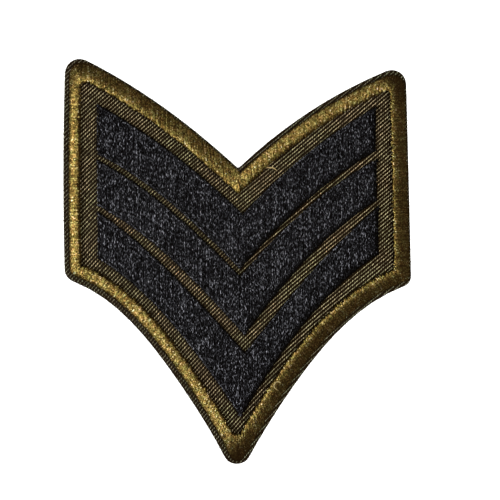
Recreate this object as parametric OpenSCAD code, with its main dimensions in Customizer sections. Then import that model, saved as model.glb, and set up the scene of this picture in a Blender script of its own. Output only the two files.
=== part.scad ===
// Embroidered rank patch with three chevrons, lying flat and face up.
// +X is the patch's right and +Y its top, as it is read, and +Z leaves its face.
// The origin is the middle of the back, which lies on Z = 0. All sizes are in millimetres.

/* [Cloth] */
// Width of the patch between its left and right edges
patch_w = 86; // [74:1:130]
// Height of the patch from its upper left corner down to its point
patch_h = 100; // [88:1:150]
// Thickness of the twill with its backing
cloth_t = 1; // [0.6:0.1:2]
// Radius to which the widest corner of the cloth is cut
corner_r = 3.8; // [2:0.1:4.4]

/* [Satin border] */
// Bare cloth left outside the border, where it is widest
rim_w = 1.3; // [0.8:0.05:1.8]
// Width of the border, where it is widest
border_w = 4.2; // [3:0.1:5]
// Height of the border's crest above the cloth
border_rise = 1.3; // [0.6:0.05:1.6]
// Place of the crest across the border, from 0 at the outer side to 1 at the inner side
border_crest = 0.76; // [0.4:0.02:0.84]
// Height at which the stitches leave the cloth, at the border's outer side
border_side_h = 0.25; // [0.1:0.05:0.4]
// Height of the border's steep inner side, as a share of the crest's
border_wall = 0.7; // [0.3:0.05:0.9]

/* [Chevrons] */
// Bare cloth between the border and the chevrons, where it is widest
band_w = 4.5; // [3:0.1:6]
// Gap between the upper and the middle chevron, where it is widest
gap_upper = 2.3; // [1:0.1:3]
// Gap between the middle and the lower chevron, where it is widest
gap_lower = 4.6; // [2.4:0.1:6]
// Height of each chevron's rolled edge above the cloth
chevron_rise = 0.85; // [0.5:0.05:1.4]
// Width of each chevron's rolled edge
roll_w = 1.3; // [0.8:0.05:1.8]

/* [Hidden] */

TWILL_OLIVE = [0.23, 0.20, 0.13];
SATIN_GOLD = [0.50, 0.42, 0.20];
THREAD_BLACK = [0.09, 0.09, 0.11];

// Corners of the cut outline, clockwise, where the two edges beside each would meet.
// Columns: place across as a share of patch_w from the left, place up as a share of patch_h from
// the point, then the rounding of the cloth and of the border's inner side as shares of corner_r.
ACROSS = 0;
UP = 1;
CUT_R = 2;
INNER_R = 3;
CORNERS = [
    [0.006, 1.021, 1.00, 0.42], // upper left
    [0.502, 0.730, 0.05, 0.08], // notch
    [0.983, 0.989, 0.96, 0.13], // upper right
    [0.999, 0.445, 0.66, 0.13], // lower right
    [0.496, -0.047, 0.80, 0.36], // point
    [0.004, 0.458, 0.83, 0.10], // lower left
];

// Edges, each from the corner of its own row to the next corner.
// Columns: outward bulge as a share of the edge's length, lean of that bulge towards the edge's
// start, its spread towards both ends, and then the rim, the border and the bare band inside it as
// shares of rim_w, border_w and band_w.
BULGE = 0;
LEAN = 1;
SPREAD = 2;
RIM = 3;
BORDER = 4;
BAND = 5;
EDGES = [
    [0.041, 0.10, 0.00, 0.34, 1.00, 0.77], // upper left edge
    [0.052, -0.02, 0.00, 0.88, 0.81, 0.74], // upper right edge
    [0.001, 0.00, 0.00, 0.34, 0.85, 0.82], // right edge
    [-0.086, 0.42, 0.28, 0.80, 0.86, 0.68], // lower right edge
    [-0.084, -0.41, 0.44, 1.00, 0.75, 0.64], // lower left edge
    [0.008, 0.00, 0.00, 0.85, 0.66, 1.00], // left edge
];
UPPER_LEFT = 0;
UPPER_RIGHT = 1;
RIGHT = 2;
LOWER_RIGHT = 3;
LOWER_LEFT = 4;
LEFT = 5;

// Place across of the chevrons' points, as a share of patch_w from the left, and how far each
// chevron's own points lie from there, also as shares of patch_w.
// Columns: upper edge, lower edge.
POINT_ACROSS = 0.514;
POINTS = [
    [0.002, -0.006], // upper
    [-0.006, 0.007], // middle
    [0.008, -0.004], // lower
];
// Bare cloth that the chevrons leave beyond the band, as shares of band_w.
// Columns: left end, middle of the left arm, point, middle of the right arm, right end.
SPARE = [
    [0.05, 0.02, 0.04, 0.00, -0.20], // above the upper
    [0.12, -0.14, 0.00, 0.10, 0.50], // below the lower
];
// Depths of the upper and the middle chevron, as shares of the three depths together.
// Columns: the same five places.
DEPTHS = [
    [0.35, 0.34, 0.31, 0.34, 0.33], // upper
    [0.32, 0.34, 0.33, 0.34, 0.31], // middle
];
// Gaps below the upper and below the middle chevron, as shares of gap_upper and gap_lower.
// Columns: the same five places.
GAPS = [
    [0.66, 0.84, 0.83, 0.86, 1.00], // below the upper
    [0.33, 0.80, 0.98, 1.00, 0.40], // below the middle
];

// Section of a chevron's rolled edge, from its outline inwards.
// Columns: distance from the outline as a share of roll_w, height as a share of chevron_rise.
ROLL = [
    [0.00, 0.45],
    [0.12, 0.78],
    [0.35, 1.00],
    [0.65, 0.98],
    [1.00, 0.78],
    [1.35, 0.92],
];

EDGE_STEPS = 14;
CORNER_STEPS = 6;
ARM_STEPS = 14;
MEETING_TRIES = 8;
// Steps up the border's outer slope and down its inner slope, as shares of each slope's width
OUTER_STOPS = [0, 0.18, 0.42, 0.7, 1];
INNER_STOPS = [0.6, 0.25, 0];

function mix(a, b, t) = a + (b - a) * t;
function unit(v) = v / norm(v);
function left_of(v) = [-v.y, v.x];
function following(i) = (i + 1) % len(CORNERS);
function before(i) = (i + len(CORNERS) - 1) % len(CORNERS);
function column(table, c, size) = [for (row = table) row[c] * size];

function corner(i) = [CORNERS[i][ACROSS] * patch_w, CORNERS[i][UP] * patch_h];
function chord(e) = corner(following(e)) - corner(e);

// Point on edge e of the cut outline, and the direction of travel there. t runs from 0 to 1.
function bulge(row, t) =
    row[BULGE] * 4 * t * (1 - t) * (1 + row[LEAN] * (1 - 2 * t) + row[SPREAD] * pow(1 - 2 * t, 2));
function edge_point(e, t) = corner(e) + chord(e) * t + left_of(chord(e)) * bulge(EDGES[e], t);
function edge_travel(e, t) = (edge_point(e, t + 0.001) - edge_point(e, t - 0.001)) / 0.002;
// The same point moved inwards, square to the edge
function inset_point(e, t, inset) =
    edge_point(e, t) - unit(left_of(edge_travel(e, t))) * inset[e];

// Places on edges a and b at which the two meet once they are moved inwards
function meeting(a, b, inset, ta = 1, tb = 0, tries = MEETING_TRIES) =
    tries == 0 ? [ta, tb] :
    let (
        way = inset_point(b, tb, inset) - inset_point(a, ta, inset),
        u = edge_travel(a, ta),
        v = edge_travel(b, tb)
    )
    meeting(a, b, inset, ta + cross(way, v) / cross(u, v), tb + cross(way, u) / cross(u, v), tries - 1);

// Where a rounding of radius r leaves edge a and joins edge b
function turn(a, b, at) = acos(unit(edge_travel(a, at[0])) * unit(edge_travel(b, at[1])));
function leaves(a, b, at, r) = at[0] - r * tan(turn(a, b, at) / 2) / norm(edge_travel(a, at[0]));
function joins(a, b, at, r) = at[1] + r * tan(turn(a, b, at) / 2) / norm(edge_travel(b, at[1]));

// The rounding itself, a cubic curve as close to an arc as its turn allows
function rounding(a, b, at, inset, r) =
    let (
        p = inset_point(a, leaves(a, b, at, r), inset),
        q = inset_point(b, joins(a, b, at, r), inset),
        tip = inset_point(a, at[0], inset),
        pull = 4 / 3 * tan(turn(a, b, at) / 4) / tan(turn(a, b, at) / 2),
        p_tip = mix(p, tip, pull),
        q_tip = mix(q, tip, pull)
    )
    [for (k = [0:CORNER_STEPS - 1])
        let (t = k / CORNER_STEPS, s = 1 - t)
        p * pow(s, 3) + p_tip * 3 * s * s * t + q_tip * 3 * s * t * t + q * pow(t, 3)];

// Closed clockwise outline at the given distances inside the cut edge, with rounded corners
function outline(inset, radii) =
    let (ats = [for (i = [0:len(CORNERS) - 1]) meeting(before(i), i, inset)])
    [for (i = [0:len(CORNERS) - 1])
        let (
            from = joins(before(i), i, ats[i], radii[i]),
            to = leaves(i, following(i), ats[following(i)], radii[following(i)])
        )
        each concat(
            rounding(before(i), i, ats[i], inset, radii[i]),
            [for (k = [0:EDGE_STEPS - 1]) inset_point(i, mix(from, to, k / EDGE_STEPS), inset)]
        )];

CUT_INSET = [for (edge = EDGES) 0];
RIM_INSET = column(EDGES, RIM, rim_w);
BORDER_INSET = RIM_INSET + column(EDGES, BORDER, border_w);
FIELD_INSET = BORDER_INSET + column(EDGES, BAND, band_w);
CUT_RADII = column(CORNERS, CUT_R, corner_r);
INNER_RADII = column(CORNERS, INNER_R, corner_r);
// The rounding of the border's outer side keeps the rim even round the corners
OUTER_RADII = [for (i = [0:len(CORNERS) - 1]) max(INNER_RADII[i], CUT_RADII[i] - RIM_INSET[i])];

// Everything is laid out from the left edge and the point, and then moved to centre the cloth
CUT_OUTLINE = outline(CUT_INSET, CUT_RADII);
function centre(c) =
    let (places = column(CUT_OUTLINE, c, 1))
    (min(places) + max(places)) / 2;
TO_CENTRE = -[centre(0), centre(1)];

// The chevrons fill a field that keeps its distance from the cut edge. Its sides run on past
// their corners by REACH of their length.
REACH = 0.2;
REACH_STEPS = 40;
SIDES = [for (e = [0:len(EDGES) - 1])
    [for (k = [0:REACH_STEPS]) inset_point(e, mix(-REACH, 1 + REACH, k / REACH_STEPS), FIELD_INSET)]];
function side_height(e, x) = lookup(x, SIDES[e]);
function side_place(e, y) = lookup(y, [for (p = SIDES[e]) [p.y, p.x]]);
function side_meeting(a, b) = inset_point(a, meeting(a, b, FIELD_INSET)[0], FIELD_INSET).x;

LEFT_X = inset_point(LEFT, 0.5, FIELD_INSET).x;
RIGHT_X = inset_point(RIGHT, 0.5, FIELD_INSET).x;
POINT_X = POINT_ACROSS * patch_w;
UPPER_BEND = side_meeting(UPPER_LEFT, UPPER_RIGHT);
LOWER_BEND = side_meeting(LOWER_RIGHT, LOWER_LEFT);

// How far x is from the end of its own arm, from 0 to 1 at the point
function arm_share(x) =
    x < POINT_X ? (x - LEFT_X) / (POINT_X - LEFT_X) : (RIGHT_X - x) / (RIGHT_X - POINT_X);
// The field's limits, eased sideways so that they bend above the chevrons' points
function limit(x, left_side, right_side, bend) =
    x < POINT_X
        ? side_height(left_side, mix(LEFT_X, bend, arm_share(x)))
        : side_height(right_side, mix(RIGHT_X, bend, arm_share(x)));

// Value at x of a row of five, by a smooth curve through the three of its own arm
function along(row, x) =
    let (
        s = arm_share(x),
        end = x < POINT_X ? row[0] : row[4],
        arm = x < POINT_X ? row[1] : row[3]
    )
    end * (1 - s) * (1 - 2 * s) + arm * 4 * s * (1 - s) + row[2] * s * (2 * s - 1);

function upper_limit(x) =
    limit(x, UPPER_LEFT, UPPER_RIGHT, UPPER_BEND) - along(SPARE[0], x) * band_w;
function lower_limit(x) =
    limit(x, LOWER_LEFT, LOWER_RIGHT, LOWER_BEND) + along(SPARE[1], x) * band_w;

// Heights of the chevrons' upper and lower edges at x, from the top chevron down
function gap(i, x) = along(GAPS[i], x) * (i == 0 ? gap_upper : gap_lower);
function depth(i, x) =
    along(DEPTHS[i], x) * (upper_limit(x) - lower_limit(x) - gap(0, x) - gap(1, x));
function top_edge(i, x) = i == 0 ? upper_limit(x) : bottom_edge(i - 1, x) - gap(i - 1, x);
function bottom_edge(i, x) = i == 2 ? lower_limit(x) : top_edge(i, x) - depth(i, x);

// How many times longer a distance square to an edge is when it is measured straight up
SLANT_STEP = 0.01;
function slant(i, x, upper) =
    let (
        step = SLANT_STEP * patch_w,
        away = x < POINT_X ? x - step : x + step,
        here = upper ? top_edge(i, x) : bottom_edge(i, x),
        there = upper ? top_edge(i, away) : bottom_edge(i, away)
    )
    norm([1, (there - here) / step]);

// Places across of a chevron's columns, closest along the rolled edge of its two ends
ROLL_STEPS = len(ROLL) - 1;
ROLL_REACH = ROLL[ROLL_STEPS][0] * roll_w;
function columns(i) =
    let (
        from = side_place(LEFT, (top_edge(i, LEFT_X) + bottom_edge(i, LEFT_X)) / 2),
        to = side_place(RIGHT, (top_edge(i, RIGHT_X) + bottom_edge(i, RIGHT_X)) / 2)
    )
    concat(
        [for (step = ROLL) from + step[0] * roll_w],
        [for (k = [1:ARM_STEPS]) mix(from + ROLL_REACH, POINT_X, k / ARM_STEPS)],
        [for (k = [1:ARM_STEPS]) mix(POINT_X, to - ROLL_REACH, k / ARM_STEPS)],
        [for (k = [ROLL_STEPS - 1:-1:0]) to - ROLL[k][0] * roll_w]
    );

// Solid through sections of equal length. Each section runs from its foot on the left of the way
// ahead, over the top, to its foot on the right. A closed solid ends where it began.
module loft(sections, closed) {
    size = len(sections[0]);
    last = len(sections) - 1;
    polyhedron(
        points = [for (section = sections) each section],
        faces = concat(
            [for (i = [0:closed ? last : last - 1], j = [0:size - 1])
                let (
                    a = i * size + j,
                    b = ((i + 1) % len(sections)) * size + j,
                    up = j == size - 1 ? -j : 1
                )
                each [[a, b, b + up], [a, b + up, a + up]]],
            closed ? [] : [
                [for (j = [0:size - 1]) j],
                [for (j = [size - 1:-1:0]) last * size + j]
            ]
        )
    );
}

// Section of the border as [share of its width from the outer side, height above the cloth]
function slope_height(foot, share) = mix(foot, border_rise, sin(90 * share));
BORDER_SECTION = concat(
    [[0, 0]],
    [for (s = OUTER_STOPS) [s * border_crest, slope_height(border_side_h, s)]],
    [for (s = INNER_STOPS) [1 - s * (1 - border_crest), slope_height(border_wall * border_rise, s)]],
    [[1, 0]]
);

module twill_base() {
    color(TWILL_OLIVE)
        translate(TO_CENTRE)
            linear_extrude(cloth_t)
                polygon(CUT_OUTLINE);
}

module satin_border() {
    outer = outline(RIM_INSET, OUTER_RADII);
    inner = outline(BORDER_INSET, INNER_RADII);
    sections = [for (i = [0:len(outer) - 1])
        [for (step = BORDER_SECTION)
            let (place = mix(outer[i], inner[i], step[0]))
            [place.x, place.y, cloth_t + step[1]]]];
    color(SATIN_GOLD)
        translate(TO_CENTRE)
            loft(sections, true);
}

function roll_height(k) = cloth_t + ROLL[k][1] * chevron_rise;

module chevron(i) {
    xs = columns(i);
    sections = [for (c = [0:len(xs) - 1])
        let (
            x = xs[c],
            from_end = min(c, len(xs) - 1 - c),
            high_x = x + POINTS[i][0] * patch_w * arm_share(x),
            low_x = x + POINTS[i][1] * patch_w * arm_share(x),
            high = top_edge(i, x),
            low = bottom_edge(i, x),
            high_slant = slant(i, x, true),
            low_slant = slant(i, x, false)
        )
        concat(
            [[high_x, high, cloth_t]],
            [for (k = [0:ROLL_STEPS])
                [high_x, high - ROLL[k][0] * roll_w * high_slant, roll_height(min(k, from_end))]],
            [for (k = [ROLL_STEPS:-1:0])
                [low_x, low + ROLL[k][0] * roll_w * low_slant, roll_height(min(k, from_end))]],
            [[low_x, low, cloth_t]]
        )];
    color(THREAD_BLACK)
        translate(TO_CENTRE)
            loft(sections, false);
}

module chevron_upper() {
    chevron(0);
}

module chevron_middle() {
    chevron(1);
}

module chevron_lower() {
    chevron(2);
}

twill_base();
satin_border();
chevron_upper();
chevron_middle();
chevron_lower();
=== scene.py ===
"""Looks of an embroidered rank patch: twill cloth, a satin-stitched border and three stitched chevrons.

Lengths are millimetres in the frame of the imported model. Only what Blender is told directly is in metres:
scales and distances in the materials, and the floor, the lights and the camera.
"""

import math

import bpy
import numpy as np
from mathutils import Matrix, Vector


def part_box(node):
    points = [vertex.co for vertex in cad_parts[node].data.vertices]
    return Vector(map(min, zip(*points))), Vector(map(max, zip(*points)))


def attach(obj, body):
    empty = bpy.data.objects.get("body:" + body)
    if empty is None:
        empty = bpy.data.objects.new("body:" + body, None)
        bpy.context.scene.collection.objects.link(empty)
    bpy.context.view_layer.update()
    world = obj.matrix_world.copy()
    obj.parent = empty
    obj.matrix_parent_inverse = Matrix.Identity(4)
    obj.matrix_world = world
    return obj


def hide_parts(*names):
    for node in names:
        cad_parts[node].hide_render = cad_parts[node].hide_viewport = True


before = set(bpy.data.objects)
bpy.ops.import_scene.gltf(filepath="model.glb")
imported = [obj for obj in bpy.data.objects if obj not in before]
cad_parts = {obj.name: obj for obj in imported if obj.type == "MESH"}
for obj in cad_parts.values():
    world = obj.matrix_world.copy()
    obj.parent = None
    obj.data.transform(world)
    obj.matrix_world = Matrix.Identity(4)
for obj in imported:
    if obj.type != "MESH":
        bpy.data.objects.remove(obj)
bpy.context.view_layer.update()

MM = 0.001
CHANCE = np.random.default_rng(4)

# Heights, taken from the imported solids
CLOTH_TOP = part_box("twill_base")[1].z / MM
BORDER_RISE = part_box("satin_border")[1].z / MM - CLOTH_TOP
CHEVRON_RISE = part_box("chevron_upper")[1].z / MM - CLOTH_TOP

# Twill: the ribs' turn from the X axis in degrees, at distances along the ribs' main direction
RIB_TURN = 42
RIB_TURNS = {"along": [-45, -27, -8, 13, 45], "degrees": [50, 48, 43, 39, 40.5]}
RIB_PITCH = 0.75
# Floats of the weave. They lean away from their rib by some degrees and are sunk into the cloth a little.
FLOAT_PITCH = 0.71
FLOAT_LENGTH = 0.72
FLOAT_WIDTH = 0.16
FLOAT_HEIGHT = 0.24
FLOAT_LEAN = 13
FLOAT_SINK = 0.1
FLOAT_SHADES = (0.1, 0.9)
# How unevenly the floats lie, and how their size varies, as a share of it
FLOAT_STRAY = {"along": 0.03, "across": 0.015, "height": 0.01, "size": 0.06}
# Half the side of the square that is woven before it is cut to shape
WEAVE_REACH = 70
# How far the floats stay away from the cut edge, and how far they go on under the stitches beside them
CUT_MARGIN = 0.2
TUCKED = 0.35
# Floats that lie this near to a chevron get painted shade, and are only this bright
PAINTED_SHADE_REACH = 0.55
PAINTED_SHADE_NEAR_CHEVRON = 0.62
# Fibre ends along the cut side: how far they reach back into the cloth, their heights as shares of its
# thickness, how far they turn aside in radians, and how far their tips rise or sink
FIBRE_COUNT = 700
FIBRE_THREAD = (0.05, 0.05)
FIBRE_LENGTHS = (0.15, 0.4)
FIBRE_ROOT = 0.15
FIBRE_HEIGHTS = (0.25, 0.85)
FIBRE_TURN = 0.8
FIBRE_LIFT = 0.1

# Border: the way that its stitches run from the inner to the outer line, in degrees from the X axis,
# at the start, the middle and the end of each side. Sides go clockwise from the corner named.
BORDER_WAYS = {
    "upper_left": (90, 90, 100),
    "notch": (100, 88, 84),
    "upper_right": (0, 0, 0),
    "lower_right": (-62, -46, -78),
    "point": (-102, -138, -122),
    "lower_left": (-180, -180, -180),
}
# Shape of the border across each side, in its stitches from the outer to the inner line: how far inside
# the outer line they rise, how high their foot is, how far past the inner line they come down, and the
# slope of their surface in degrees at shares of the way across, rising towards the inner line
BORDER_SLOPE_SHARES = [0, 0.15, 0.3, 0.45, 0.6, 0.75, 0.9, 1]
BORDER_SHAPES = {
    "upper_left": {"start": 0, "foot": 0.05, "flank": 0, "slopes": (29, 28, 27, 24, 19, 12, -4, -62)},
    "notch": {"start": 0, "foot": 0.6, "flank": 0, "slopes": (23, 16, 9, 4, -2, -15, -26, -34)},
    "upper_right": {"start": 0, "foot": 0.5, "flank": 0.1, "slopes": (20, 18, 15, 11, 7, 2, -3, -3)},
    "lower_right": {"start": 0, "foot": 0.1, "flank": 0.45, "slopes": (28, 28, 27, 23, 16, 7, -3, -9)},
    "point": {"start": 0.15, "foot": 0.25, "flank": 0.3, "slopes": (52, 35, 22, 13, 7, 1, -4, -9)},
    "lower_left": {"start": 0.2, "foot": 0.2, "flank": 0.45, "slopes": (60, 40, 26, 17, 12, 7, 4, 1)},
}
# What differs at the corners, and how near to a corner it begins, as a share of the side
CORNER_SHAPES = {
    "upper_left": {"start": 0, "foot": 0.05, "flank": 0.1, "slopes": (38, 36, 32, 27, 20, 11, 0, -30)},
    "upper_right": {"foot": 0.3, "slopes": (26, 24, 21, 16, 9, 1, -10, -14)},
    "point": {"start": 0, "foot": 0.05, "flank": 0.2, "slopes": (38, 36, 33, 28, 21, 10, -2, -12)},
}
CORNER_REACH = 0.09
# The seam in the notch, where the right arm begins lower, with painted shade that makes it duller than it
# goes on, and how far past the corner of the inner line it lies
NOTCH_SEAM = {"foot": 0.25, "slopes": (23, 16, 9, 4, -2, -10, -20, -30)}
SEAM_PAINTED_SHADE = (0.9, 0.9)
SEAM_SHIFT = 0.8
# Painted shade and painted highlight on the border's gloss, at the outer and at the inner line: a scale
# below one darkens it and one above brightens it. The higher the curve, the later it brightens on its way
# in.
SIDE_PAINTED_LIGHT = {"lower_left": (1.12, 1.12)}
PLAIN_GLOSS = (1, 1)
CORNER_PAINTED_LIGHT = {
    "upper_left": (0.3, 2.1),
    "notch": (2.3, 2.3),
    "upper_right": (0.25, 1.1),
    "point": (0.04, 0.76),
    "lower_left": (1.2, 1.2),
}
PAINTED_LIGHT_CURVE = 3
# Stitches of the border: how far apart they lie, the width and thickness of their thread, and how unevenly
# they end at the outer and at the inner line
BORDER_PITCH = 0.26
BORDER_THREAD = (0.31, 0.1)
BORDER_ENDS = (0.06, 0.16)
# How far they stray aside, how their height varies between stitches and along each, and how their width
# varies as a share of it
BORDER_STRAY = {"aside": 0.03, "height": 0.015, "along": 0.008, "width": 0.05}
# Where a stitch has its sections, as shares of its length, and how far it turns on its way, in degrees
BORDER_SHARES = np.array([0, 0.02, 0.12, 0.24, 0.36, 0.48, 0.6, 0.72, 0.82, 0.91, 0.98, 1])
BORDER_ROLL = 4
# Every second stitch in the fan of a corner ends at this share, so that they don't pile up
FAN_SHARE = 0.8
# How far the ends of the stitches go down into the cloth
END_DEPTH = 0.1
# Closed bed under the stitches, with a section at every third one
BORDER_BED_SHARES = np.array([0.04, 0.06, 0.3, 0.55, 0.75, 0.9, 0.94, 0.96])
BORDER_BED_DEPTH = 0.2
BORDER_BED_STEP = 3
# Loose threads: a loop on the lower right of the border and an end beside the notch, as points on their way
LOOSE_THREAD = (0.26, 0.22)
LOOSE_THREADS = {
    "loop": [
        (9.9, -31.7, 2.2),
        (9.26, -31.22, 2.45),
        (9.01, -30.63, 2.5),
        (9.28, -30.06, 2.52),
        (9.65, -29.69, 2.5),
        (10.25, -29.62, 2.45),
        (10.8, -30.0, 2.2),
    ],
    "end": [
        (7.2, 23.1, 1.7),
        (7.6, 23.2, 1.55),
        (8.1, 23.2, 1.4),
        (8.8, 23.15, 1.3),
        (9.3, 22.85, 1.25),
        (9.7, 22.5, 1.1),
    ],
}

# Fill of the chevrons: upright lines of short stitches, how far apart they lie and how far they stray
FILL_PITCH = 0.32
FILL_SPREAD = 0.03
FILL_STRAY = {"aside": 0.01, "height": 0.02}
# Width and thickness of the thread, and how far it turns on its way, in degrees
FILL_THREAD = (0.31, 0.24)
FILL_ROLL = 8
# Height of the fill, as a share of the chevron's
FILL_SHARE = 0.98
# Shortest and longest stitch, and how far apart the points along it lie
FILL_STITCH = (0.6, 1.2)
FILL_STEP = 0.24
# How far a stitch leans aside, as a mean and a spread, and how far it dips where it ends
FILL_LEAN = (-0.04, 0.12)
FILL_DIP = 0.1
# How far in from the edge the fill begins, and how far its lines differ in that
FILL_MARGIN = (0.5, 0.15)
# Drop of the fill's lines towards the chevron's ends, at distances from each end
LEFT_END = {"distance": [0, 0.3, 0.5, 1.1, 1.4], "drop": [0.15, 0.1, 0.3, 0.3, 0]}
RIGHT_END = {"distance": [0, 0.3, 0.6, 1.0], "drop": [0.55, 0.3, 0.1, 0]}
# How far the tops of the lines face the right end, as a slope
RIGHT_TILT = {"distance": [0, 0.6, 1.0], "slope": [0.9, 0.5, 0]}
# Painted shade on the gloss at the right end and along the lower edge of the right arm, which face away
# from the light
END_PAINTED_SHADE = {"distance": [0.3, 0.9, 1.3], "gloss": [0.15, 0.4, 1]}
EDGE_PAINTED_SHADE = {"distance": [0.4, 0.9, 1.4], "gloss": [0.15, 0.4, 1]}
# Dark bed under the fill: how far in from the edge it begins, and how far it lies below the fill's top and,
# at its foot, below the top of the cloth
FILL_BED_MARGIN = 0.5
FILL_BED_DEPTH = 0.35
FILL_BED_FOOT = 0.2
# Rolled edge of the chevrons: its width, and the shortest and longest of its stitches as shares of that
ROLL_WIDTH = 0.9
ROLL_LENGTHS = (0.6, 1.1)
# Stitches that would lie flatter than one in so many are left out, so the upright ends have none
ROLL_LEAN = 2.5
ROLL_PITCH = 0.22
ROLL_STRAY = {"aside": 0.03, "height": 0.02}
ROLL_THREAD = (0.26, 0.22)
ROLL_ROLL = 6
# Height of a stitch on its way from the edge, as shares of the chevron's
ROLL_ARCH = {"share": [0, 0.02, 0.07, 0.16, 0.5, 0.75, 1], "height": [-0.1, 0.6, 0.88, 0.97, 1, 1, 0.92]}

# Camera: the width and middle of the area that it sees, which is as wide as it is high, and its lens
VIEW_WIDTH = 123.46
VIEW_CENTRE = (3.16, 2.84)
LENS = 300
SENSOR = 36


# Lines in the plane: arrays of points, closed and clockwise

# Stands in for zero as a divisor
TINY = 1e-9
# A ray meets no line nearer to its start than this
NEAREST_HIT = 0.3


def foot_loops(node):
    """Closed lines round the underside of a CAD node, the longest first."""
    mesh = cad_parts[node].data
    spots = {}
    index = [spots.setdefault(tuple(round(c / MM, 3) for c in v.co), len(spots)) for v in mesh.vertices]
    points = np.array(list(spots))
    low = points[:, 2] < points[:, 2].min() + 0.01
    edges = {}
    for polygon in mesh.polygons:
        corners = [index[i] for i in polygon.vertices]
        if all(low[c] for c in corners):
            for a, b in zip(corners, corners[1:] + corners[:1]):
                if edges.pop((b, a), None) is None:
                    edges[(a, b)] = b
    following = {a: b for a, b in edges}
    loops = []
    while following:
        corner = next(iter(following))
        loop = []
        while corner in following:
            loop.append(points[corner, :2])
            corner = following.pop(corner)
        loops.append(clockwise(np.array(loop)))
    return sorted(loops, key=lambda loop: -closed_length(loop))


def signed_area(loop):
    """Area inside the loop, below zero if it runs clockwise."""
    x, y = loop.T
    return np.sum(x * np.roll(y, -1) - y * np.roll(x, -1)) / 2


def clockwise(loop):
    return loop if signed_area(loop) < 0 else loop[::-1]


def closed_length(loop):
    return np.linalg.norm(np.roll(loop, -1, axis=0) - loop, axis=1).sum()


def stations(loop):
    """The loop's points with its first one again at the end, and how far along it each lies."""
    closed = np.vstack([loop, loop[:1]])
    steps = np.linalg.norm(np.diff(closed, axis=0), axis=1)
    return closed, np.concatenate([[0], np.cumsum(steps)])


def at(loop, distances):
    """Points at these distances along the loop, which may run past its end."""
    closed, marks = stations(loop)
    distances = np.mod(distances, marks[-1])
    return np.stack([np.interp(distances, marks, closed[:, axis]) for axis in (0, 1)], axis=-1)


def extreme(loop, direction):
    """How far along the loop its furthest point in this direction lies."""
    marks = stations(loop)[1]
    return marks[np.argmax(loop @ np.array(direction))]


def hit(loop, start, degrees):
    """How far along the loop a ray from start first meets it."""
    closed, marks = stations(loop)
    ray = np.array([math.cos(math.radians(degrees)), math.sin(math.radians(degrees))])
    a, step = closed[:-1] - start, np.diff(closed, axis=0)
    across = ray[0] * step[:, 1] - ray[1] * step[:, 0]
    across = np.where(abs(across) < TINY, TINY, across)
    reach = (a[:, 0] * step[:, 1] - a[:, 1] * step[:, 0]) / across
    share = (a[:, 0] * ray[1] - a[:, 1] * ray[0]) / across
    meets = (share >= 0) & (share <= 1) & (reach > NEAREST_HIT)
    nearest = np.argmin(np.where(meets, reach, np.inf))
    return marks[nearest] + share[nearest] * (marks[nearest + 1] - marks[nearest])


def inside(loop, points):
    """Which of the points lie inside the loop."""
    a, b = loop, np.roll(loop, -1, axis=0)
    x, y = points[:, :1], points[:, 1:]
    crosses = (a[:, 1] > y) != (b[:, 1] > y)
    rise = np.where(a[:, 1] == b[:, 1], TINY, b[:, 1] - a[:, 1])
    to_the_right = x < a[:, 0] + (y - a[:, 1]) / rise * (b[:, 0] - a[:, 0])
    return (crosses & to_the_right).sum(axis=1) % 2 == 1


def sharp_corners(loop, turn=22):
    """Indices of the loop's points at which it turns by more than this many degrees."""
    before, after = loop - np.roll(loop, 1, axis=0), np.roll(loop, -1, axis=0) - loop
    cosine = (before * after).sum(axis=1) / (np.linalg.norm(before, axis=1) * np.linalg.norm(after, axis=1))
    return np.flatnonzero(cosine < math.cos(math.radians(turn)))


def even(loop, step):
    """The loop with its points about one step apart, its sharp corners kept."""
    corners = sharp_corners(loop)
    loop = np.roll(loop, -corners[0], axis=0)
    corners = np.append(corners - corners[0], len(loop))
    marks = stations(loop)[1]
    pieces = []
    for a, b in zip(corners, corners[1:]):
        count = max(2, round((marks[b] - marks[a]) / step))
        pieces.append(at(loop, np.linspace(marks[a], marks[b], count, endpoint=False)))
    return np.vstack(pieces)


def inset(loop, distance):
    """The loop moved inwards, mitred at its corners."""
    ahead = np.roll(loop, -1, axis=0) - loop
    ahead /= np.linalg.norm(ahead, axis=1)[:, None]
    behind = np.roll(ahead, 1, axis=0)
    inward = np.stack([ahead[:, 1] + behind[:, 1], -ahead[:, 0] - behind[:, 0]], axis=-1)
    length = np.linalg.norm(inward, axis=1)[:, None]
    return loop + inward / length * distance * 2 / np.clip(length, 1.0, None)


# Meshes

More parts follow.
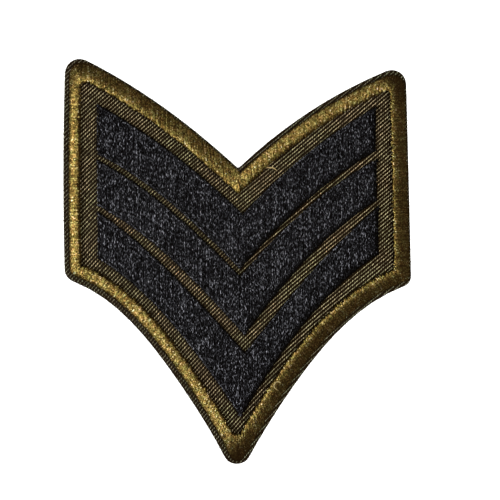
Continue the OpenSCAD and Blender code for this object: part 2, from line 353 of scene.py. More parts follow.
class Piece:
    """Points and faces of one piece, gathered strand by strand.

    Each strand has a shade of its own. Each of its points knows how far along the strand it lies, which
    way the strand runs there and how bright its gloss is, a scale that holds painted shade and painted
    highlight.
    """

    def __init__(self):
        self.points, self.faces, self.smooth = [], [], []
        self.shades, self.runs, self.ways, self.glosses = [], [], [], []
        self.count = 0

    def add(self, points, faces, shade=0.5, run=0.0, way=(1, 0, 0), gloss=1.0, flat=()):
        """flat lists the groups of faces that are shaded flat."""
        self.points.append(points)
        self.faces += [np.asarray(face) + self.count for face in faces]
        self.smooth += [np.full(len(face), group not in flat) for group, face in enumerate(faces)]
        self.shades.append(np.broadcast_to(shade, len(points)))
        self.runs.append(np.broadcast_to(run, len(points)))
        self.ways.append(np.broadcast_to(way, (len(points), 3)))
        self.glosses.append(np.broadcast_to(gloss, len(points)))
        self.count += len(points)

    def build(self, name, material):
        mesh = bpy.data.meshes.new(name)
        corners = np.concatenate([face.ravel() for face in self.faces])
        sizes = np.concatenate([np.full(len(face), face.shape[1]) for face in self.faces])
        mesh.vertices.add(self.count)
        mesh.vertices.foreach_set("co", (np.concatenate(self.points) * MM).astype(np.float32).ravel())
        mesh.loops.add(len(corners))
        mesh.loops.foreach_set("vertex_index", corners.astype(np.int32))
        mesh.polygons.add(len(sizes))
        mesh.polygons.foreach_set("loop_start", (np.cumsum(sizes) - sizes).astype(np.int32))
        mesh.update(calc_edges=True)
        mesh.polygons.foreach_set("use_smooth", np.concatenate(self.smooth))
        for label, values in (("shade", self.shades), ("run", self.runs), ("gloss", self.glosses)):
            numbers = mesh.attributes.new(label, "FLOAT", "POINT")
            numbers.data.foreach_set("value", np.concatenate(values).astype(np.float32))
        ways = mesh.attributes.new("way", "FLOAT_VECTOR", "POINT")
        ways.data.foreach_set("vector", np.concatenate(self.ways).astype(np.float32).ravel())
        mesh.materials.append(material)
        piece = bpy.data.objects.new(name, mesh)
        bpy.context.scene.collection.objects.link(piece)
        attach(piece, "root")
        return piece


# Sections of a thread, from its left foot over its top to its right foot, in halves of its size
SECTIONS = {
    "flat": {
        "side": np.array([1, 0.94, 0.4, -0.4, -0.94, -1]),
        "height": np.array([-0.5, 0.85, 1, 1, 0.85, -0.5]),
    },
    "round": {
        "side": np.array([1, 0.8, 0.3, -0.3, -0.8, -1]),
        "height": np.array([-0.5, 0.4, 1, 1, 0.4, -0.5]),
    },
}
SECTION_SIDES = 6
# Sides of a section that are its top, which is shaded smooth
TOP_SIDES = (1, 2, 3)


def tube_faces(rings, sides):
    """Faces of a closed tube: its wall, and a cap at each end."""
    i, j = np.meshgrid(np.arange(rings - 1), np.arange(sides), indexing="ij")
    k = (j + 1) % sides
    wall = np.stack([i * sides + j, i * sides + k, (i + 1) * sides + k, (i + 1) * sides + j], axis=-1)
    first = np.arange(sides)[::-1][None]
    last = (rings - 1) * sides + np.arange(sides)[None]
    return [wall.reshape(-1, 4), first, last]


def add_strand(piece, path, size, beside=None, roll=0.0, tip=0.5, section="flat", gloss=1.0):
    """Adds a thread of this width and height along a path.

    beside points from each place on the path to the strand on its left, and is level if left out.
    roll is how far, in degrees, the top turns to either side on its way, as the plies wind round.
    tip is the width of both ends, as a share of the thread's.
    """
    tangents = np.gradient(path, axis=0)
    tangents /= np.linalg.norm(tangents, axis=1)[:, None]
    left = np.stack([-tangents[:, 1], tangents[:, 0], np.zeros(len(path))], axis=-1)
    if beside is not None:
        wide = np.linalg.norm(beside, axis=1) > 0.1
        left = np.where(wide[:, None], beside, left)
    left -= (left * tangents).sum(axis=1)[:, None] * tangents
    left /= np.linalg.norm(left, axis=1)[:, None]
    up = np.cross(tangents, left)
    run = np.concatenate([[0], np.cumsum(np.linalg.norm(np.diff(path, axis=0), axis=1))])
    width = np.full((len(path), 1), size[0] / 2)
    width[[0, -1]] *= tip
    turn = np.tan(np.radians(CHANCE.normal(0, roll, (len(path), 1))))
    aside = width * SECTIONS[section]["side"]
    rise = size[1] / 2 * SECTIONS[section]["height"] + turn * aside
    points = path[:, None] + left[:, None] * aside[..., None] + up[:, None] * rise[..., None]
    wall, first, last = tube_faces(len(path), SECTION_SIDES)
    top = np.isin(np.arange(len(wall)) % SECTION_SIDES, TOP_SIDES)
    piece.add(
        points.reshape(-1, 3),
        [wall[top], wall[~top], first, last],
        shade=CHANCE.uniform(),
        run=np.repeat(run, SECTION_SIDES),
        way=np.repeat(tangents, SECTION_SIDES, axis=0),
        gloss=np.repeat(np.broadcast_to(gloss, len(path)), SECTION_SIDES),
        flat=(1, 2, 3),
    )


def add_ring(piece, sections):
    """Adds a closed ring through sections of equal length, each from its outer foot to its inner."""
    count, size = sections.shape[:2]
    i, j = np.meshgrid(np.arange(count), np.arange(size), indexing="ij")
    n, k = (i + 1) % count, (j + 1) % size
    wall = np.stack([i * size + j, i * size + k, n * size + k, n * size + j], axis=-1)
    piece.add(sections.reshape(-1, 3), [wall.reshape(-1, 4)], 0.0)


# Materials

# Gloss of the threads, which spreads wider across a thread than along it, and the share of dull light
THREAD_ROUGHNESS = 0.62
THREAD_SPREAD = 0.19
DULL_SHARE = 0.1
# How far apart the strands lie in the noise of their painted glints
STRAND_SPACING = 300
# Ribs of the plain back. A wave has 10 radians to the unit of the diagonal, which runs 1.41 times as far as
# the way straight across the ribs.
BACK_RIB_SCALE = 2 * math.pi / (10 * math.sqrt(2) * RIB_PITCH * MM)


def node_material(name, roughness=0.5, specular=0.5):
    material = bpy.data.materials.new(name)
    material.use_nodes = True
    tree = material.node_tree
    shader = tree.nodes["Principled BSDF"]
    shader.inputs["Roughness"].default_value = roughness
    shader.inputs["Specular IOR Level"].default_value = specular
    return material, tree, shader


def noise(tree, scale, detail=3.0, place=None):
    """Noise at a place, which is the piece's own coordinates in metres if it is left out."""
    texture = tree.nodes.new("ShaderNodeTexNoise")
    texture.inputs["Scale"].default_value = scale
    texture.inputs["Detail"].default_value = detail
    place = place or tree.nodes.new("ShaderNodeTexCoord").outputs["Object"]
    tree.links.new(place, texture.inputs["Vector"])
    return texture.outputs["Fac"]


def attribute(tree, name):
    """A number that each point of the piece has."""
    node = tree.nodes.new("ShaderNodeAttribute")
    node.attribute_name = name
    return node.outputs["Fac"]


def times(tree, value, factor):
    node = tree.nodes.new("ShaderNodeMath")
    node.operation = "MULTIPLY"
    node.inputs[1].default_value = factor
    tree.links.new(value, node.inputs[0])
    return node.outputs["Value"]


def along_strand(tree, length, width=None):
    """A place for noise that moves on by one in each length of a strand, and differs between strands.

    It also moves on by one in each width along the X axis, if that is given. Both are millimetres.
    """
    node = tree.nodes.new("ShaderNodeCombineXYZ")
    tree.links.new(times(tree, attribute(tree, "run"), 1 / length), node.inputs["X"])
    tree.links.new(times(tree, attribute(tree, "shade"), STRAND_SPACING), node.inputs["Y"])
    if width:
        axes = tree.nodes.new("ShaderNodeSeparateXYZ")
        tree.links.new(tree.nodes.new("ShaderNodeTexCoord").outputs["Object"], axes.inputs["Vector"])
        tree.links.new(times(tree, axes.outputs["X"], 1 / (width * MM)), node.inputs["Z"])
    return node.outputs["Vector"]


def colours(tree, factor, stops):
    """Colours blended between stops, each a position and its colour."""
    ramp = tree.nodes.new("ShaderNodeValToRGB")
    elements = ramp.color_ramp.elements
    for element, (position, colour) in zip(elements, (stops[0], stops[-1])):
        element.position = position
        element.color = (*colour, 1)
    for position, colour in stops[1:-1]:
        elements.new(position).color = (*colour, 1)
    tree.links.new(factor, ramp.inputs["Fac"])
    return ramp.outputs["Color"]


def tinted(tree, colour, scale, tints):
    """The colour, multiplied by tints that drift over the piece."""
    node = tree.nodes.new("ShaderNodeVectorMath")
    node.operation = "MULTIPLY"
    tree.links.new(colour, node.inputs[0])
    tree.links.new(colours(tree, noise(tree, scale, 2), tints), node.inputs[1])
    return node.outputs["Vector"]


def scaled(tree, colour, factor):
    """The colour, multiplied by a number."""
    node = tree.nodes.new("ShaderNodeVectorMath")
    node.operation = "SCALE"
    tree.links.new(colour, node.inputs[0])
    tree.links.new(factor, node.inputs["Scale"])
    return node.outputs["Vector"]


def blend(tree, first, second, share):
    """The first number, with this share of the second."""
    mix = tree.nodes.new("ShaderNodeMix")
    mix.inputs["Factor"].default_value = share
    tree.links.new(first, mix.inputs["A"])
    tree.links.new(second, mix.inputs["B"])
    return mix.outputs["Result"]


def bump(tree, shader, height, strength, distance):
    """distance is in metres."""
    node = tree.nodes.new("ShaderNodeBump")
    node.inputs["Strength"].default_value = strength
    node.inputs["Distance"].default_value = distance
    tree.links.new(height, node.inputs["Height"])
    tree.links.new(node.outputs["Normal"], shader.inputs["Normal"])


def thread_material(name, dye):
    """Shiny thread. A small share of the light is scattered inside it, in the colour of its dye."""
    material, tree, shader = node_material(name)
    gloss = tree.nodes.new("ShaderNodeBsdfAnisotropic")
    gloss.distribution = "BECKMANN"
    gloss.inputs["Roughness"].default_value = THREAD_ROUGHNESS
    gloss.inputs["Anisotropy"].default_value = THREAD_SPREAD
    way = tree.nodes.new("ShaderNodeAttribute")
    way.attribute_name = "way"
    tree.links.new(way.outputs["Vector"], gloss.inputs["Tangent"])
    dull = tree.nodes.new("ShaderNodeBsdfDiffuse")
    dull.inputs["Color"].default_value = (*dye, 1)
    both = tree.nodes.new("ShaderNodeMixShader")
    both.inputs["Fac"].default_value = DULL_SHARE
    tree.links.new(gloss.outputs["BSDF"], both.inputs[1])
    tree.links.new(dull.outputs["BSDF"], both.inputs[2])
    tree.links.new(both.outputs["Shader"], tree.nodes["Material Output"].inputs["Surface"])
    tree.nodes.remove(shader)
    return material, tree, gloss


def gold_material():
    """Rayon thread: nearly all gloss, with painted glints in flecks where its plies turn to the light."""
    material, tree, shader = thread_material("gold_thread", dye=(0.06, 0.03, 0.01))
    painted_glints = noise(tree, 1, 2, along_strand(tree, length=0.45))
    factor = blend(tree, painted_glints, attribute(tree, "shade"), 0.11)
    colour = colours(tree, factor, [
        (0.34, (0.015, 0.0095, 0.0024)),
        (0.5, (0.125, 0.09, 0.022)),
        (0.62, (0.4, 0.305, 0.09)),
        (0.73, (0.82, 0.75, 0.5)),
    ])
    colour = tinted(tree, colour, 900, [(0.35, (1.0, 0.82, 0.8)), (0.65, (0.88, 1.0, 0.95))])
    # The gloss attribute scales the colour: painted shade and painted highlight on the border
    tree.links.new(scaled(tree, colour, attribute(tree, "gloss")), shader.inputs["Color"])
    bump(tree, shader, noise(tree, 6000, 2), strength=0.15, distance=0.00005)
    return material


def black_material():
    """Black thread: dark but for its gloss, with painted glints in short flecks, narrower than they are
    long.
    """
    material, tree, shader = thread_material("black_thread", dye=(0.009, 0.007, 0.005))
    painted_glints = noise(tree, 1, 2, along_strand(tree, length=0.65, width=0.22))
    factor = blend(tree, painted_glints, attribute(tree, "shade"), 0.05)
    colour = colours(tree, factor, [
        (0.32, (0.0004, 0.0004, 0.0006)),
        (0.46, (0.003, 0.003, 0.0036)),
        (0.58, (0.0225, 0.0227, 0.0257)),
        (0.7, (0.23, 0.232, 0.258)),
    ])
    # The gloss attribute scales the colour: painted shade at the chevrons' right ends and lower edges
    tree.links.new(scaled(tree, colour, attribute(tree, "gloss")), shader.inputs["Color"])
    bump(tree, shader, noise(tree, 9000, 2), strength=0.25, distance=0.00004)
    return material


def olive_material(name, dark, light):
    """Dull yarn, each strand between the dark and the light colour."""
    material, tree, shader = node_material(name, roughness=0.8, specular=0.2)
    factor = blend(tree, attribute(tree, "shade"), noise(tree, 900), 0.4)
    colour = colours(tree, factor, [(0.2, dark), (0.8, light)])
    colour = tinted(tree, colour, 90, [(0.4, (1.0, 0.92, 0.9)), (0.6, (0.92, 1.0, 0.9))])
    tree.links.new(colour, shader.inputs["Base Color"])
    bump(tree, shader, noise(tree, 9000, 2), strength=0.4, distance=0.00005)
    return material


def cloth_material():
    """Dark ground under the floats, where shade is 0, nearly black as painted shade deep in the weave, and
    the plain twill of the back, where it is 1.
    """
    material, tree, shader = node_material("olive_cloth", roughness=0.85, specular=0.03)
    # Painted shade: the ground between the floats is nearly black, for the shade deep in the weave
    ground = colours(tree, noise(tree, 1500), [
        (0.2, (0.0035, 0.0018, 0.0006)),
        (0.8, (0.008, 0.0048, 0.0018)),
    ])
    ribs = tree.nodes.new("ShaderNodeTexWave")
    ribs.bands_direction = "DIAGONAL"
    ribs.inputs["Scale"].default_value = BACK_RIB_SCALE
    ribs.inputs["Distortion"].default_value = 1.5
    ribs.inputs["Detail"].default_value = 2
    ribs.inputs["Detail Scale"].default_value = 3
    tree.links.new(tree.nodes.new("ShaderNodeTexCoord").outputs["Object"], ribs.inputs["Vector"])
    weave = blend(tree, ribs.outputs["Fac"], noise(tree, 3000), 0.4)
    twill = colours(tree, weave, [(0.2, (0.035, 0.029, 0.016)), (0.8, (0.17, 0.145, 0.088))])
    mix = tree.nodes.new("ShaderNodeMix")
    mix.data_type = "RGBA"
    tree.links.new(attribute(tree, "shade"), mix.inputs["Factor"])
    tree.links.new(ground, mix.inputs["A"])
    tree.links.new(twill, mix.inputs["B"])
    tree.links.new(mix.outputs["Result"], shader.inputs["Base Color"])
    bump(tree, shader, weave, strength=0.5, distance=0.0001)
    return material


GOLD = gold_material()
BLACK = black_material()
OLIVE = olive_material("olive_yarn", (0.035, 0.029, 0.016), (0.44, 0.37, 0.22))
RIM_OLIVE = olive_material("olive_rim_yarn", (0.04, 0.033, 0.018), (0.18, 0.175, 0.115))
LOOSE_TAN = olive_material("loose_yarn", (0.1, 0.07, 0.03), (0.32, 0.23, 0.11))
CLOTH = cloth_material()


# Cloth

CUT = foot_loops("twill_base")[0]
BORDER_OUTER, BORDER_INNER = foot_loops("satin_border")[:2]
CHEVRONS = {name: foot_loops(name)[0] for name in ("chevron_upper", "chevron_middle", "chevron_lower")}
# Cut side of the cloth: how far apart its points lie, the height of each of its layers as a share of the
# thickness, and how far each layer is cut back
CUT_STEP = 0.7
SIDE_HEIGHTS = [0, 0.04, 0.44, 0.5, 0.56, 0.84, 0.9]
SIDE_INSETS = [0.06, 0.01, 0.02, 0.07, 0.01, 0.0, 0.06]


def twill_cloth():
    """The cloth itself: front, back and cut side, one closed sheet."""
    piece = Piece()
    outline = even(CUT, CUT_STEP)
    rings = [
        np.column_stack([inset(outline, back), np.full(len(outline), share * CLOTH_TOP)])
        for share, back in zip(SIDE_HEIGHTS, SIDE_INSETS)
    ]
    points = np.vstack(rings)
    wall, first, last = tube_faces(len(rings), len(outline))
    plain = np.repeat(np.arange(len(rings)) < len(rings) - 1, len(outline))
    # The outline is clockwise, so every face is turned round to look outwards
    piece.add(points, [wall[:, ::-1], first[:, ::-1], last[:, ::-1]], shade=plain)
    cloth = piece.build("twill_cloth", CLOTH)
    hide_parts("twill_base")
    return cloth


def rib_drift(along):
    """How far the ribs have drifted sideways, and turned, at distances along their main direction."""
    # A mark every quarter of a millimetre
    marks = np.linspace(-80, 80, 641)
    turn = np.radians(np.interp(marks, RIB_TURNS["along"], RIB_TURNS["degrees"]) - RIB_TURN)
    drift = np.concatenate([[0], np.cumsum(np.tan(turn[:-1]) * np.diff(marks))])
    return np.interp(along, marks, drift - np.interp(0, marks, drift)), np.interp(along, marks, turn)


def float_shape():
    """One float of the weave, a closed pillow a unit long, wide and high, as rings of points."""
    path = np.array([[-0.5, 0, -0.5], [-0.3, 0, 0.1], [0, 0, 0.3], [0.3, 0, 0.1], [0.5, 0, -0.5]])
    girth = np.array([0.4, 0.85, 1, 0.85, 0.4])
    around = np.radians(np.linspace(-15, 195, 5))
    ring = np.stack([np.zeros(5), np.cos(around) * 0.5, np.sin(around) * 0.5], axis=-1)
    return (path[:, None] + ring * girth[:, None, None]).reshape(-1, 3), tube_faces(5, 5)


def float_places():
    """Centre, turn and painted shade of each float that shows, or lies just under the stitches beside it.
    """
    along, across = np.meshgrid(
        np.arange(-WEAVE_REACH, WEAVE_REACH, FLOAT_PITCH),
        np.arange(-WEAVE_REACH, WEAVE_REACH, RIB_PITCH),
        indexing="ij",
    )
    along, across = along.ravel(), across.ravel()
    along += CHANCE.normal(0, FLOAT_STRAY["along"], len(along))
    across += CHANCE.normal(0, FLOAT_STRAY["across"], len(across))
    drift, turn = rib_drift(along)
    base = math.radians(RIB_TURN)
    way = np.array([math.cos(base), math.sin(base)])
    side = np.array([-math.sin(base), math.cos(base)])
    places = along[:, None] * way + (across + drift)[:, None] * side
    rim = inside(inset(CUT, CUT_MARGIN), places) & ~inside(inset(BORDER_OUTER, TUCKED), places)
    field = inside(inset(BORDER_INNER, -TUCKED), places)
    painted_shade = np.ones(len(places))
    for outline in CHEVRONS.values():
        field &= ~inside(inset(even(outline, 1), TUCKED), places)
        # Floats near a chevron get painted shade
        painted_shade[inside(inset(even(outline, 1), -PAINTED_SHADE_REACH), places)] = PAINTED_SHADE_NEAR_CHEVRON
    return [(places[shown], base + turn[shown], painted_shade[shown]) for shown in (rim, field)]


def twill_ribs(name, places, turns, painted_shades, material):
    """Floats at these places. The third list gives each one's painted shade: how bright it is beside the
    free ones.
    """
    piece = Piece()
    shape, faces = float_shape()
    size = np.array([FLOAT_LENGTH, FLOAT_WIDTH, FLOAT_HEIGHT])
    for place, turn, painted_shade in zip(places, turns + math.radians(FLOAT_LEAN), painted_shades):
        c, s = math.cos(turn), math.sin(turn)
        spin = np.array([[c, s, 0], [-s, c, 0], [0, 0, 1]])
        grow = size * CHANCE.normal(1, FLOAT_STRAY["size"], 3)
        centre = np.array([*place, CLOTH_TOP - FLOAT_SINK + CHANCE.normal(0, FLOAT_STRAY["height"])])
        piece.add(shape * grow @ spin + centre, faces, CHANCE.uniform(*FLOAT_SHADES) * painted_shade)
    return piece.build(name, material)


def cut_fibres():
    """Short fibre ends along the cut side."""
    piece = Piece()
    places = at(CUT, np.sort(CHANCE.uniform(0, closed_length(CUT), FIBRE_COUNT)))
    middle = CUT.mean(axis=0)
    for place in places:
        outward = (place - middle) / np.linalg.norm(place - middle)
        turn = CHANCE.normal(0, FIBRE_TURN)
        c, s = math.cos(turn), math.sin(turn)
        way = np.array([outward[0] * c - outward[1] * s, outward[0] * s + outward[1] * c])
        length = CHANCE.uniform(*FIBRE_LENGTHS)
        lift = CHANCE.normal(0, FIBRE_LIFT)
        start = np.array([*(place - way * FIBRE_ROOT), CHANCE.uniform(*FIBRE_HEIGHTS) * CLOTH_TOP])
        reach = np.linspace(0, 1, 4)[:, None]
        forward = np.array([*(way * (length + FIBRE_ROOT)), 0])
        path = start + reach * forward + reach**2 * np.array([0, 0, lift])
        add_strand(piece, path, FIBRE_THREAD)
    return piece.build("cut_fibres", RIM_OLIVE)


# Border

# Ways in which the border's corners lie furthest out. The notch has none, as it lies inwards.
BORDER_CORNERS = {
    "upper_left": (-1, 1),
    "notch": None,
    "upper_right": (1, 1),
    "lower_right": (1, -0.3),
    "point": (0, -1),
    "lower_left": (-1, -0.3),
}
# Where each side has a stitch that guides the others, as shares of the side
GUIDE_SHARES = (0, CORNER_REACH, 0.5, 1 - CORNER_REACH, 1)
# Columns of the stitches' shapes: painted light on the gloss at the outer and the inner end, foot, flank
# and slopes
PAINTED_LIGHT_COLUMNS = slice(0, 2)
FOOT = 2
FLANK = 3
SLOPES = slice(4, None)


def corner_marks(loop):
    """How far along the loop each corner lies, in clockwise order and rising, and the loop's length."""
    marks = {name: extreme(loop, way) for name, way in BORDER_CORNERS.items() if way}
    length = stations(loop)[1][-1]
    # The notch is the lowest place between the two upper corners
    span = (marks["upper_right"] - marks["upper_left"]) % length
    distances = marks["upper_left"] + np.linspace(0.2, 0.8, 600) * span
    marks["notch"] = distances[np.argmin(at(loop, distances)[:, 1])] + SEAM_SHIFT
    rising, last = {}, None
    for name in BORDER_CORNERS:
        mark = marks[name] if last is None else last + (marks[name] - last) % length
        rising[name] = last = mark
    return rising, length


def border_guides():
    """Distances along the inner and the outer line that each guiding stitch joins."""
    marks, length = corner_marks(BORDER_INNER)
    outer_length = closed_length(BORDER_OUTER)
    names = list(BORDER_CORNERS)
    guides = []
    for name, after in zip(names, names[1:] + names[:1]):
        start = marks[name]
        end = marks[after] + (length if after == names[0] else 0)
        for share in GUIDE_SHARES:
            way = np.interp(share, (0, 0.5, 1), BORDER_WAYS[name])
            inner = start + (end - start) * share
            outer = hit(BORDER_OUTER, at(BORDER_INNER, inner), way)
            if guides:
                ahead = (outer - guides[-1][1]) % outer_length
                outer = guides[-1][1] + (ahead if ahead < outer_length / 2 else 0)
            guides.append((inner, outer))
    guides.append((guides[0][0] + length, guides[0][1] + outer_length))
    return guides


def border_stitches_at():
    """Outer end, inner end, shape and whether it is in a corner's fan, for each stitch in turn."""
    guides = border_guides()
    names = list(BORDER_SHAPES)
    shapes = []
    for name, after in zip(names, names[1:] + names[:1]):
        side = BORDER_SHAPES[name]
        for place, corner in enumerate((name, *[None] * (len(GUIDE_SHARES) - 2), after)):
            shape = side | CORNER_SHAPES.get(corner, {})
            # Painted shade and painted highlight on the gloss, by corner and by side
            gloss = CORNER_PAINTED_LIGHT.get(corner) or SIDE_PAINTED_LIGHT.get(name, PLAIN_GLOSS)
            # The seam's first stitches get painted shade on their gloss
            if place == 0 and name == "notch":
                shape, gloss = side | NOTCH_SEAM, SEAM_PAINTED_SHADE
            shapes.append((shape["start"], *gloss, shape["foot"], shape["flank"], *shape["slopes"]))
    shapes = np.array(shapes + shapes[:1])
    rows = []
    for i, ((inner, outer), (next_inner, next_outer)) in enumerate(zip(guides, guides[1:])):
        reach = max(next_inner - inner, next_outer - outer)
        count = round(reach / BORDER_PITCH)
        # The stitches of a fan share their inner end
        fan = next_inner - inner < 1e-6
        for share in np.arange(count) / max(count, 1):
            rows.append((
                inner + (next_inner - inner) * share,
                outer + (next_outer - outer) * share,
                shapes[i] + (shapes[i + 1] - shapes[i]) * share,
                fan,
            ))
    inner, outer, shapes, fan = (np.array(column) for column in zip(*rows))
    inner, outer = at(BORDER_INNER, inner), at(BORDER_OUTER, outer)
    way = (inner - outer) / np.linalg.norm(inner - outer, axis=1)[:, None]
    return outer + way * shapes[:, :1], inner, shapes[:, 1:], fan


def border_surface(outer, inner, shapes):
    """Height of the border above the cloth along each stitch, at even steps across, from its slopes."""
    feet, slopes = shapes[:, FOOT, None], shapes[:, SLOPES]
    steps = np.linspace(0, 1, 41)
    tangents = np.array([np.interp(steps, BORDER_SLOPE_SHARES, np.tan(np.radians(row))) for row in slopes])
    means = (tangents[:, 1:] + tangents[:, :-1]) / 2 * np.diff(steps)
    climbed = np.column_stack([np.zeros(len(slopes)), np.cumsum(means, axis=1)])
    # The border's width at each stitch, square to its inner edge. In a fan it changes evenly from one
    # side's width to the next one's.
    ahead = np.roll(inner, -1, axis=0) - np.roll(inner, 1, axis=0)
    length = np.linalg.norm(ahead, axis=1)
    across = inner - outer
    moves = np.flatnonzero(length > 0.4 * BORDER_PITCH)
    width = abs(across[:, 0] * ahead[:, 1] - across[:, 1] * ahead[:, 0])[moves] / length[moves]
    width = np.interp(np.arange(len(inner)), moves, width, period=len(inner))
    climbed *= width[:, None]
    # No stitch stands above the solid's crest
    return steps, feet + climbed * np.minimum(1, (BORDER_RISE - feet) / climbed.max(axis=1, keepdims=True))


def border_bed(piece, outer, inner, steps, climbed):
    """Closed ground under the border's stitches, so that nothing shows between them."""
    some = slice(None, None, BORDER_BED_STEP)
    height = np.array([np.interp(BORDER_BED_SHARES, steps, row) for row in climbed[some]])
    height -= BORDER_BED_DEPTH
    height[:, [0, -1]] = -END_DEPTH
    places = outer[some, None] + (inner - outer)[some, None] * BORDER_BED_SHARES[:, None]
    add_ring(piece, np.dstack([places, CLOTH_TOP + height]))


def border():
    """Satin stitches side by side all round."""
    piece = Piece()
    outer, inner, shapes, fans = border_stitches_at()
    steps, climbed = border_surface(outer, inner, shapes)
    arch = np.array([np.interp(BORDER_SHARES, steps, row) for row in climbed])
    across = (inner - outer)[:, None]
    surface = np.dstack([outer[:, None] + across * BORDER_SHARES[:, None], arch])
    beside = np.roll(surface, -1, axis=0) - np.roll(surface, 1, axis=0)
    width, thickness = BORDER_THREAD
    aside = BORDER_STRAY["aside"]
    for count, (start, end, fan) in enumerate(zip(outer, inner, fans)):
        way = (end - start) / np.linalg.norm(end - start)
        side = np.array([-way[1], way[0]])
        start = start + way * CHANCE.normal(0, BORDER_ENDS[0]) + side * CHANCE.normal(0, aside)
        end = end + way * CHANCE.normal(0, BORDER_ENDS[1]) + side * CHANCE.normal(0, aside)
        taken = BORDER_SHARES * (FAN_SHARE if fan and count % 2 else 1.0)
        height = np.interp(taken, steps, climbed[count])
        lift = CHANCE.normal(0, BORDER_STRAY["height"])
        height += lift + CHANCE.normal(0, BORDER_STRAY["along"], len(taken))
        height[[0, -1]] = -END_DEPTH
        path = np.column_stack([start + (end - start) * taken[:, None], CLOTH_TOP + height - thickness / 2])
        path[-1, :2] += way * shapes[count, FLANK]
        # Painted shade and painted highlight along the stitch, as a scale on its gloss
        gloss = np.interp(taken**PAINTED_LIGHT_CURVE, (0, 1), shapes[count, PAINTED_LIGHT_COLUMNS])
        size = (width * CHANCE.normal(1, BORDER_STRAY["width"]), thickness)
        add_strand(piece, path, size, beside[count], BORDER_ROLL, gloss=gloss)
    border_bed(piece, outer, inner, steps, climbed)
    stitches = piece.build("border_stitches", GOLD)
    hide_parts("satin_border")
    return stitches


def loose_threads():
    piece = Piece()
    for spots in LOOSE_THREADS.values():
        add_strand(piece, np.array(spots), LOOSE_THREAD, section="round")
    return piece.build("loose_threads", LOOSE_TAN)


# Chevrons

def edges_of(outline):
    """Upper and lower edge of a chevron, each as points from left to right."""
    # Each end is nearly upright, so a slight lean of the way finds its upper or its lower corner
    marks = [np.argmax(outline @ np.array(way)) for way in ((-1, 0.05), (1, 0.05), (1, -0.05), (-1, -0.05))]
    turned = np.roll(outline, -marks[0], axis=0)
    upper_right, lower_right, lower_left = [(mark - marks[0]) % len(outline) for mark in marks[1:]]
    return turned[: upper_right + 1], turned[lower_right : lower_left + 1][::-1]


def height_on(edge, x):
    return np.interp(x, edge[:, 0], edge[:, 1])


def steepness(edge, x):
    """How much longer a distance square to the edge is when it is measured straight up."""
    slope = height_on(edge, x + 0.5) - height_on(edge, x - 0.5)
    return np.hypot(1, slope)


def fill_path(x, low, high):
    """Line of fill stitches up the chevron at x. Each arches a little and dips where it ends."""
    y = np.linspace(low, high, max(6, round((high - low) / FILL_STEP)))
    ends = [low - CHANCE.uniform(0, FILL_STITCH[0])]
    while ends[-1] < high:
        ends.append(ends[-1] + CHANCE.uniform(*FILL_STITCH))
    ends = np.array(ends)
    stitch = np.searchsorted(ends, y, side="right") - 1
    share = (y - ends[stitch]) / np.diff(np.append(ends, ends[-1] + 1))[stitch]
    top = CLOTH_TOP + FILL_SHARE * CHEVRON_RISE - FILL_THREAD[1] / 2
    lift = CHANCE.normal(0, FILL_STRAY["height"], len(ends))[stitch]
    lean = CHANCE.normal(*FILL_LEAN, len(ends))[stitch] * (share - 0.5)
    z = top + lift - FILL_DIP * (2 * share - 1) ** 2
    return np.column_stack([x + lean + CHANCE.normal(0, FILL_STRAY["aside"], len(y)), y, z])


def painted_edge_shade(outline, path):
    """Painted shade on the gloss at each place on a path, at the chevron's right end and along the lower
    edge of its right arm.
    """
    lower = edges_of(outline)[1]
    x, y = path[:, 0], path[:, 1]
    middle = lower[np.argmin(lower[:, 1]), 0]
    above = (y - height_on(lower, x)) / steepness(lower, x)
    edge = np.interp(above, EDGE_PAINTED_SHADE["distance"], EDGE_PAINTED_SHADE["gloss"])
    end = np.interp(outline[:, 0].max() - x, END_PAINTED_SHADE["distance"], END_PAINTED_SHADE["gloss"])
    # The right arm begins just past the chevron's point
    return np.minimum(np.where(x > middle + 0.5, edge, 1), end)


def chevron_fill(piece, outline):
    """Lines of fill stitches from the lower edge up to the upper one, side by side."""
    upper, lower = edges_of(outline)
    left = outline[:, 0].min() + FILL_THREAD[0] / 2
    right = outline[:, 0].max() - FILL_THREAD[0] / 2
    rows = np.arange(left, right, FILL_PITCH)
    for x in rows + CHANCE.normal(0, FILL_SPREAD, len(rows)):
        low = height_on(lower, x) + CHANCE.normal(*FILL_MARGIN) * steepness(lower, x)
        high = height_on(upper, x) - CHANCE.normal(*FILL_MARGIN) * steepness(upper, x)
        path = fill_path(x, low, high)
        drops = [
            np.interp(distance, end["distance"], end["drop"])
            for distance, end in ((x - left, LEFT_END), (right - x, RIGHT_END))
        ]
        path[:, 2] -= sum(drops)
        tilt = np.interp(right - x, RIGHT_TILT["distance"], RIGHT_TILT["slope"])
        beside = np.tile([-1, 0, tilt], (len(path), 1))
        # Painted shade at the chevron's right end and right arm's lower edge
        gloss = painted_edge_shade(outline, path)
        add_strand(piece, path, FILL_THREAD, beside, FILL_ROLL, section="round", gloss=gloss)


def chevron_roll(piece, outline):
    """Row of short satin stitches over the chevron's upper and lower edge."""
    outer = even(outline, ROLL_PITCH)
    inner = inset(outer, ROLL_WIDTH)
    shares, arch = np.array(ROLL_ARCH["share"]), np.array(ROLL_ARCH["height"])
    for start, end in zip(outer, inner):
        end = start + (end - start) * CHANCE.uniform(*ROLL_LENGTHS)
        if abs(end[0] - start[0]) > ROLL_LEAN * abs(end[1] - start[1]):
            continue
        spots = start + (end - start) * shares[:, None] + CHANCE.normal(0, ROLL_STRAY["aside"], 2)
        rise = CHEVRON_RISE + CHANCE.normal(0, ROLL_STRAY["height"])
        height = CLOTH_TOP + arch * rise - ROLL_THREAD[1] / 2
        path = np.column_stack([spots, height])
        # Painted shade at the chevron's right end and right arm's lower edge
        add_strand(piece, path, ROLL_THREAD, roll=ROLL_ROLL, gloss=painted_edge_shade(outline, spots))


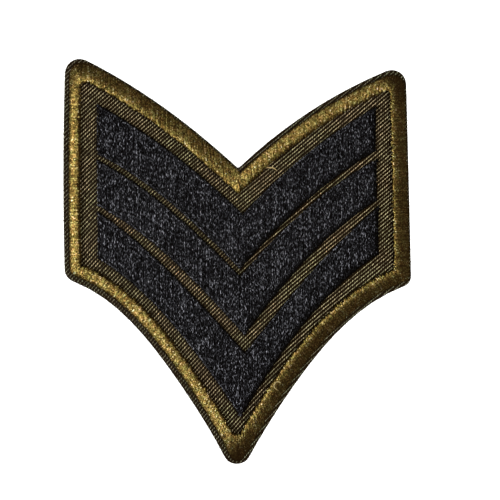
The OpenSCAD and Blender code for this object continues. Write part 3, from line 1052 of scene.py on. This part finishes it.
def chevron_bed(piece, outline):
    """Dark ground under the fill, so that no cloth shows between its threads."""
    upper, lower = edges_of(outline)
    xs = np.linspace(outline[:, 0].min() + FILL_BED_MARGIN, outline[:, 0].max() - FILL_BED_MARGIN, 80)
    high = height_on(upper, xs) - FILL_BED_MARGIN * steepness(upper, xs)
    low = height_on(lower, xs) + FILL_BED_MARGIN * steepness(lower, xs)
    top = CLOTH_TOP + FILL_SHARE * CHEVRON_RISE - FILL_BED_DEPTH
    foot = CLOTH_TOP - FILL_BED_FOOT
    sections = np.stack([
        np.column_stack([xs, y, np.full(len(xs), z)])
        for y, z in ((high, foot), (high, top), (low, top), (low, foot))
    ], axis=1)
    piece.add(sections.reshape(-1, 3), tube_faces(len(xs), 4), 0.0)


def chevron(name):
    """One chevron: its bed, its fill and its rolled edge."""
    piece = Piece()
    chevron_bed(piece, CHEVRONS[name])
    chevron_fill(piece, CHEVRONS[name])
    chevron_roll(piece, CHEVRONS[name])
    stitches = piece.build(name + "_stitches", BLACK)
    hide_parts(name)
    return stitches


# Floor, light and camera, in metres and degrees

FLOOR_HALF = 3.0
# The floor lies just under the patch, and glows so that it is as white as the photo's
FLOOR_HEIGHT = -0.0002
FLOOR_GLOW = 0.85
ROOM_LIGHT = 0.13
CLIP_NEAR = 0.01
CLIP_FAR = 10


def floor():
    mesh = bpy.data.meshes.new("floor")
    corners = [(x * FLOOR_HALF, y * FLOOR_HALF, 0) for x, y in ((-1, -1), (1, -1), (1, 1), (-1, 1))]
    mesh.from_pydata(corners, [], [(0, 1, 2, 3)])
    material, _, shader = node_material("floor", roughness=0.9, specular=0.1)
    shader.inputs["Base Color"].default_value = (0.5, 0.5, 0.5, 1)
    shader.inputs["Emission Color"].default_value = (1, 1, 1, 1)
    shader.inputs["Emission Strength"].default_value = FLOOR_GLOW
    mesh.materials.append(material)
    ground = bpy.data.objects.new("floor", mesh)
    ground.location.z = FLOOR_HEIGHT
    # The threads' gloss shows the dim room, not this bright floor
    ground.visible_glossy = False
    bpy.context.scene.collection.objects.link(ground)


def area_light(name, azimuth, elevation, distance, size, watts):
    """Square light that looks at the patch from this azimuth, counted from the X axis."""
    a, e = math.radians(azimuth), math.radians(elevation)
    data = bpy.data.lights.new(name, "AREA")
    data.size = size
    data.energy = watts
    light = bpy.data.objects.new(name, data)
    away = np.array([math.cos(a) * math.cos(e), math.sin(a) * math.cos(e), math.sin(e)])
    light.location = distance * away
    light.rotation_euler = (math.pi / 2 - e, 0, a + math.pi / 2)
    bpy.context.scene.collection.objects.link(light)
    return light


def lights():
    """The key light from the left, a fill from the right and an evenly lit room."""
    area_light("key", azimuth=185, elevation=44, distance=0.8, size=0.35, watts=11)
    # Lightens the shadows without a second shine on the threads
    fill = area_light("fill", azimuth=0, elevation=50, distance=0.8, size=0.5, watts=14)
    fill.visible_glossy = False
    world = bpy.data.worlds.new("world")
    world.use_nodes = True
    background = world.node_tree.nodes["Background"]
    background.inputs["Color"].default_value = (1, 1, 1, 1)
    background.inputs["Strength"].default_value = ROOM_LIGHT
    bpy.context.scene.world = world
    bpy.context.scene.view_settings.view_transform = "Standard"


def camera():
    """Camera that looks straight down, from as far off as its lens needs for the view."""
    data = bpy.data.cameras.new("camera")
    data.lens = LENS
    data.sensor_width = SENSOR
    data.clip_start = CLIP_NEAR
    data.clip_end = CLIP_FAR
    eye = bpy.data.objects.new("camera", data)
    eye.location = (
        VIEW_CENTRE[0] * MM,
        VIEW_CENTRE[1] * MM,
        VIEW_WIDTH * MM * LENS / SENSOR + CLOTH_TOP * MM,
    )
    bpy.context.scene.collection.objects.link(eye)
    bpy.context.scene.camera = eye


camera()
floor()
lights()
cloth = twill_cloth()
rim_floats, field_floats = float_places()
rim_ribs = twill_ribs("rim_ribs", *rim_floats, RIM_OLIVE)
field_ribs = twill_ribs("field_ribs", *field_floats, OLIVE)
fibres = cut_fibres()
border()
for name in CHEVRONS:
    chevron(name)
loose = loose_threads()
